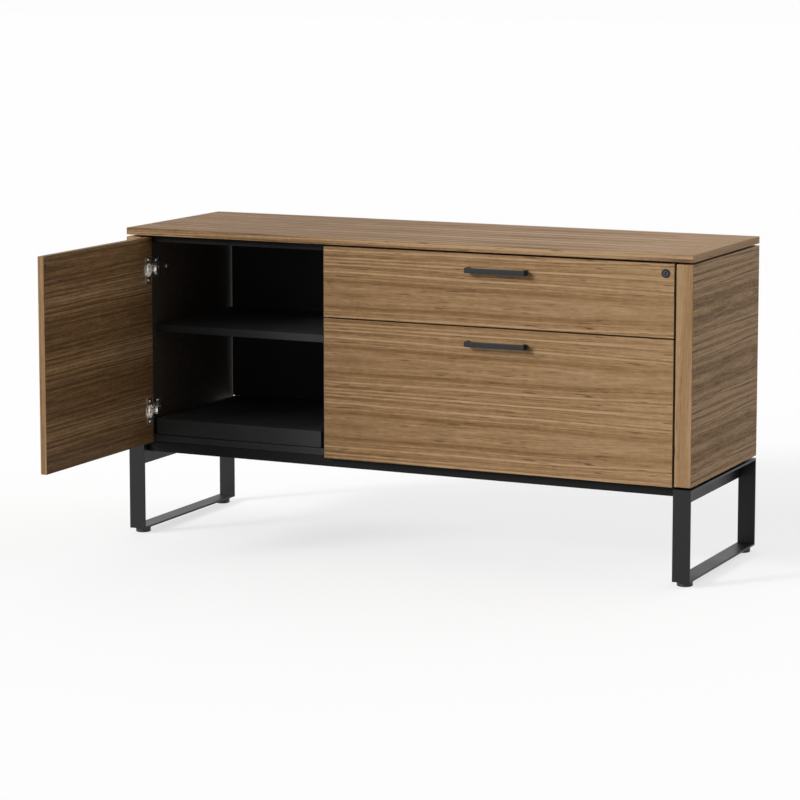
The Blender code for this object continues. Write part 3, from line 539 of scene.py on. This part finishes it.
for side, sign in (("left", -1), ("right", 1)):
    node = f"end_frame_{side}"
    low, high = (np.array(corner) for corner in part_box(node))
    front, bottom = low[1:]
    rear, pad_top = high[1:]
    middle_x = sign * OUTER_X - sign * BAR_W / 2
    path = [
        (middle_x, front, bottom),
        (middle_x, rear, bottom),
        (middle_x, rear, LOOP_TOP),
        (middle_x, front, LOOP_TOP),
    ]
    inward = [(0, 1, 1), (0, -1, 1), (0, -1, -1), (0, 1, -1)]
    loop = carried(bar_section(BAR_W, BAR_T, BAR_EASE), path, inward)
    loop = mesh_piece(f"{node}_loop", loop, POWDER, "cabinet", looped=True)
    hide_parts(node)
    # The apron lies between the bars, a little back from their inner edges
    inner = sign * OUTER_X - sign * (BAR_W - APRON_BACK)
    near, far = sorted((inner, inner + sign * APRON_T))
    apron_low = (near, front + BAR_T / 2, LOOP_TOP - APRON_H)
    apron_high = (far, rear - BAR_T / 2, LOOP_TOP - BAR_T / 2)
    apron = board(apron_low, apron_high, BAR_EASE)
    mesh_piece(f"{node}_apron", apron, POWDER, "cabinet")
    for end, y, wall_y in (
        ("front", front + PAD_IN, front + BAR_T),
        ("rear", rear - PAD_IN, rear - BAR_T),
    ):
        pad = [(PAD_R - PAD_EASE, 0), (PAD_R, PAD_EASE), (PAD_R, pad_top - LOOP_TOP)]
        pad = turned(pad, (middle_x, y, LOOP_TOP), (0, 0, 1))
        mesh_piece(f"{node}_pad_{end}", pad, PLASTIC, "cabinet")
        bolt = screw_head((middle_x, y, LOOP_TOP - BAR_T), (0, 0, -1), 5.0 * MM, 2.4 * MM)
        mesh_piece(f"{node}_bolt_{end}", bolt, ZINC, "cabinet")
        for level, z in (("low", bottom + BAR_T), ("high", LOOP_TOP - BAR_T)):
            start = (middle_x - BAR_W / 2 + WELD_END, wall_y, z)
            bead = weld_bead(start, BAR_W - 2 * WELD_END)
            mesh_piece(f"{node}_weld_{end}_{level}", bead, POWDER, "cabinet")
    for end in ("front", "rear"):
        foot = f"foot_{end}_{side}"
        foot_low, foot_high = (np.array(corner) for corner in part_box(foot))
        centre = (foot_low + foot_high) / 2
        radius = (foot_high[0] - foot_low[0]) / 2
        # From the floor up: a rim, a groove and a knob that ends just below the bar, and the stud
        top = bottom - 0.3 * MM
        profile = [
            (radius - 2.2 * MM, 0),
            (radius - 0.8 * MM, 0.4 * MM),
            (radius, 1.6 * MM),
            (radius, 5.0 * MM),
            (radius - 0.5 * MM, 5.6 * MM),
            (radius - 0.5 * MM, 6.4 * MM),
            (radius, 7.0 * MM),
            (radius, top - 1.8 * MM),
            (radius - 0.8 * MM, top - 0.5 * MM),
            (radius - 2.2 * MM, top),
            (STUD_R, top),
            (STUD_R, foot_high[2]),
        ]
        spot = (centre[0], centre[1], 0)
        glide = turned(profile, spot, (0, 0, 1), around=120, flutes=30, flute_depth=0.35 * MM)
        glide = mesh_piece(f"{foot}_glide", glide, PLASTIC, "cabinet")
        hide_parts(foot)


# Handles: a flat bar on two legs, with soft corners


def bridge_handle(node, body, middle, across, out):
    """A bridge handle: its outline in plan, a bar on two legs, carried over its height.

    It is drawn on the panel's face: middle lies on that face, and out points away from it.
    """
    half, reach, thin, leg, half_height = 74 * MM, 19.7 * MM, 3.6 * MM, 8 * MM, 6 * MM
    corners = [
        (-half, reach),
        (-half, 0),
        (-half + leg, 0),
        (-half + leg, reach - thin),
        (half - leg, reach - thin),
        (half - leg, 0),
        (half, 0),
        (half, reach),
    ]
    # Outer corners are rounder than the rims, so that the drawn-in outline never crosses itself
    radii = np.array([1.8, 0.9, 0.9, 2.0, 2.0, 0.9, 0.9, 1.8]) * MM
    outline = filleted(corners, radii)
    rings = slab(outline, -half_height, half_height, 0.7 * MM, middle, across, out)
    piece = mesh_piece(f"{node}_bridge", rings, HANDLE_LACQUER, body)
    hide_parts(node)


for body in ("upper_drawer", "lower_drawer", "door"):
    node = f"{body}_handle"
    low, high = (np.array(corner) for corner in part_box(node))
    x, y, z = (low + high) / 2
    if body == "door":
        bridge_handle(node, body, (high[0], y, z), (0, 1, 0), (-1, 0, 0))
    else:
        bridge_handle(node, body, (x, high[1], z), (1, 0, 0), (0, -1, 0))


# Small fittings


def screw(name, spot, axis, size, finish, body):
    """A cross-recess screw head on a surface. Its size is its radius and its dome's height."""
    mesh_piece(name, screw_head(spot, axis, *size), finish, body)


def disc(name, spot, axis, size, finish, body):
    """A low round button with an eased rim. Its size is its radius and its height."""
    radius, height = size
    ease = 0.35 * min(size)
    shoulder = (radius - 0.3 * ease, height - 0.3 * ease)
    profile = [(radius, 0), (radius, height - ease), shoulder, (radius - ease, height)]
    mesh_piece(name, turned(profile, spot, axis), finish, body)


# Hinges: two screws in each cup's flange, and four on each arm. For each screw on an arm: how far
# it stands off the side panel, lies behind the arm's front end and lies above its middle, in
# millimetres, and the way it points
FLANGE_SCREW_Z = 24.5 * MM
FLANGE_SCREW = (3.6 * MM, 1.2 * MM)
ARM_SCREW = (3.6 * MM, 1.6 * MM)
ARM_SCREWS = (
    ("plate_high", 2, 62, 16, (1, 0, 0)),
    ("plate_low", 2, 62, -16, (1, 0, 0)),
    ("depth", 7.5, 60.2, 0, (1, 0, 0)),
    ("side", 19.2, 36.05, 0, (0.787, 0.616, 0)),
)
for level in ("upper", "lower"):
    low, high = (np.array(corner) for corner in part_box(f"hinge_cup_{level}"))
    middle_y, middle_z = (low[1] + high[1]) / 2, (low[2] + high[2]) / 2
    for end, shift in (("high", FLANGE_SCREW_Z), ("low", -FLANGE_SCREW_Z)):
        name = f"hinge_cup_{level}_screw_{end}"
        spot = (high[0], middle_y, middle_z + shift)
        screw(name, spot, (1, 0, 0), FLANGE_SCREW, NICKEL, "door")
    low, high = (np.array(corner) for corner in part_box(f"hinge_arm_{level}"))
    for end, off, back, up, axis in ARM_SCREWS:
        name = f"hinge_arm_{level}_screw_{end}"
        spot = (low[0] + off * MM, low[1] + back * MM, middle_z + up * MM)
        screw(name, spot, axis, ARM_SCREW, NICKEL, "cabinet")

# A connector's cap on the left side panel, and sleeves on the shelf pins, which lie in from the
# shelf's front and rear edges and below it
SIDE_WALL, DIVIDER_WALL = -676.0 * MM, -199.5 * MM
CAP_SPOT = (SIDE_WALL, 123.5 * MM, 640 * MM)
CAP = (6.5 * MM, 5 * MM)
SLEEVE = (2.65 * MM, 8.2 * MM)
PIN_IN = 37 * MM
PIN_DROP = 2.8 * MM
disc("side_panel_cap", CAP_SPOT, (1, 0, 0), CAP, NICKEL, "cabinet")
shelf_low, shelf_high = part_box("adjustable_shelf")
for side, x, way in (("left", SIDE_WALL, 1), ("right", DIVIDER_WALL, -1)):
    for end, y in (("front", shelf_low[1] + PIN_IN), ("rear", shelf_high[1] - PIN_IN)):
        name = f"shelf_pin_sleeve_{side}_{end}"
        spot = (x, y, shelf_low[2] - PIN_DROP)
        disc(name, spot, (way, 0, 0), SLEEVE, NICKEL, "cabinet")

# Soft bumpers that the closed door meets the divider with
BUMPER = (3 * MM, 3.4 * MM)
BUMPER_IN = 5 * MM
door_low, door_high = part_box("door_panel")
for end, z in (("high", 700 * MM), ("low", 250 * MM)):
    spot = (door_high[0], door_low[1] + BUMPER_IN, z)
    disc(f"door_bumper_{end}", spot, (1, 0, 0), BUMPER, PLASTIC, "door")

# Screws along the edges of the back panels, each sunk in a pocket: the rows of places across
# start at the panel's left edge, in millimetres
BACK_SCREW = (3.4 * MM, 0.9 * MM)
BACK_SCREW_IN = 12 * MM
POCKET_R = 4.2 * MM
POCKET_D = 1.0 * MM
for side, across in (("left", (16, 240, 465)), ("right", (16, 290, 575, 845))):
    node = f"back_panel_{side}"
    low, high = (np.array(corner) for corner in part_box(node))
    rows = {
        "high": high[2] - BACK_SCREW_IN,
        "mid": (low[2] + high[2]) / 2,
        "low": low[2] + BACK_SCREW_IN,
    }
    pockets = []
    for row, z in rows.items():
        for number, x in enumerate(across):
            # Halfway up, only the two upright edges have a screw
            if row == "mid" and 0 < number < len(across) - 1:
                continue
            x = low[0] + x * MM
            pockets.append((x, high[1], z))
            name = f"{node}_screw_{row}_{number}"
            spot = (x, high[1] - POCKET_D, z)
            screw(name, spot, (0, 1, 0), BACK_SCREW, ZINC, "cabinet")
    drilled(node, pockets, (0, 1, 0), POCKET_R, POCKET_D, "cabinet")

# Screws and holes in the drawers' slides, and caps on the drawers' corner joints. The places
# along a slide start at its front end, in millimetres, and its middle member follows the drawer
# at half its travel
SLIDE_SCREW = (3.2 * MM, 1.0 * MM)
SLIDE_SCREWS = (40, 190, 340)
SLIDE_T = 1.0 * MM
SLIDE_HOLE_R = 2.6 * MM
SLIDE_HOLES = {"inner": (80, 115, 150, 230, 265, 300), "middle": (30, 70, 150, 230, 310, 350)}
JOINT_CAP = (4 * MM, 0.8 * MM)
JOINT_CAP_IN = {"front": 8 * MM, "back": 6 * MM}
JOINT_CAP_DOWN = {"high": 14 * MM, "low": 40 * MM}
for drawer, follower in (
    ("upper_drawer", "upper_slide_middle"),
    ("lower_drawer", "lower_slide_middle"),
):
    for side, way in (("left", -1), ("right", 1)):
        low, high = (np.array(corner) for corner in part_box(f"{drawer}_slide_{side}_inner"))
        face = high[0] - SLIDE_T if way < 0 else low[0] + SLIDE_T
        for number, y in enumerate(SLIDE_SCREWS):
            name = f"{drawer}_slide_{side}_screw_{number}"
            spot = (face, low[1] + y * MM, (low[2] + high[2]) / 2)
            screw(name, spot, (way, 0, 0), SLIDE_SCREW, ZINC, drawer)
        for member, body in (("inner", drawer), ("middle", follower)):
            node = f"{drawer}_slide_{side}_{member}"
            low, high = (np.array(corner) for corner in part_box(node))
            middle = (low + high) / 2
            holes = [(middle[0], low[1] + y * MM, middle[2]) for y in SLIDE_HOLES[member]]
            drilled(node, holes, (1, 0, 0), SLIDE_HOLE_R, high[0] - low[0], body)
        low, high = (np.array(corner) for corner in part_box(f"{drawer}_side_{side}"))
        face = low[0] if way < 0 else high[0]
        ends = {"front": low[1] + JOINT_CAP_IN["front"], "back": high[1] - JOINT_CAP_IN["back"]}
        for end, y in ends.items():
            for level, down in JOINT_CAP_DOWN.items():
                name = f"{drawer}_side_{side}_cap_{end}_{level}"
                spot = (face, y, high[2] - down)
                disc(name, spot, (way, 0, 0), JOINT_CAP, PLASTIC, drawer)


# Floor, light and camera

FLOOR_HALF = 40
corners = [(x * FLOOR_HALF, y * FLOOR_HALF, 0) for x, y in ((-1, -1), (1, -1), (1, 1), (-1, 1))]
floor = bpy.data.meshes.new("floor")
floor.from_pydata(corners, [], [(0, 1, 2, 3)])
floor = bpy.data.objects.new("floor", floor)
bpy.context.scene.collection.objects.link(floor)


def seen_directly(tree):
    """1 for a ray from the camera, off a glossy surface or through glass, and 0 for any other."""
    rays = add(tree, "LightPath").node.outputs
    seen = [rays["Is Camera Ray"], rays["Is Glossy Ray"]]
    seen = add(tree, "Math", seen, operation="MAXIMUM")
    return add(tree, "Math", [seen, rays["Is Transmission Ray"]], operation="MAXIMUM")


def studio_floor(tree, shader):
    """White paper. Where it is seen directly, two thirds of its white are its own.

    So it meets the white behind, and the rest takes the cabinet's shadow.
    """
    own = add(tree, "Math", [seen_directly(tree), 0.67], operation="MULTIPLY")
    tree.links.new(own, shader.inputs["Emission Strength"])


PAPER = material(
    "white_studio_paper",
    studio_floor,
    Base_Color=linear("#9c9c9c"),
    Emission_Color=linear("#ffffff"),
    Roughness=0.95,
    Specular_IOR_Level=0.0,
)
floor.data.materials.append(PAPER)


def key_light(name, strength, spread):
    """A far lamp whose face spreads over so many degrees.

    It shines along (0.585, 0.702, -0.406), which is to the right, to the back and down, as the
    shadows of the handles show.
    """
    light = bpy.data.lights.new(name, "SUN")
    light.energy = strength
    light.angle = math.radians(spread)
    made = bpy.data.objects.new(name, light)
    made.rotation_euler = (math.acos(0.406), 0, math.atan2(-0.585, 0.702))
    bpy.context.scene.collection.objects.link(made)


key_light("key_centre", 1.75, 12)
key_light("key_softbox", 1.65, 48)

world = bpy.data.worlds.new("white_studio")
world.use_nodes = True
bpy.context.scene.world = world
sky = world.node_tree
# The studio is brighter behind the cabinet and to its right than in front of it, and a little
# brighter overhead
way = add(sky, "TexCoord", out="Generated")
behind = add(sky, "VectorMath", [way, (0.3, 0.954, 0)], out="Value", operation="DOT_PRODUCT")
glow = add(sky, "MapRange", [behind, -0.3, 0.6, 0.085, 1.02])
height = add(sky, "SeparateXYZ", [way], out="Z")
glow = add(sky, "Math", [height, 0.08, glow], operation="MULTIPLY_ADD")
light = sky.nodes["Background"]
light.inputs[0].default_value = linear("#ffffff")
sky.links.new(glow, light.inputs[1])
shown = add(sky, "Background", [linear("#fdfdfd"), 1.0])
surround = add(sky, "MixShader", [seen_directly(sky), light.outputs[0], shown])
sky.links.new(surround, sky.nodes["World Output"].inputs["Surface"])

# The camera's place and lens were fitted to the photo's edges. The photo was taken level with a
# large shift, and here the camera tilts down instead, with a small one
CAMERA_SPOT = (2.82464, -5.93299, 1.43132)
TILT_DOWN, TURN = 0.126382, 0.443012
lens = bpy.data.cameras.new("photo_camera")
lens.lens = 130.345
lens.shift_y = -0.12
camera = bpy.data.objects.new("photo_camera", lens)
camera.location = CAMERA_SPOT
camera.rotation_euler = (math.pi / 2 - TILT_DOWN, 0, TURN)
bpy.context.scene.collection.objects.link(camera)
bpy.context.scene.camera = camera
bpy.context.scene.view_settings.view_transform = "Standard"
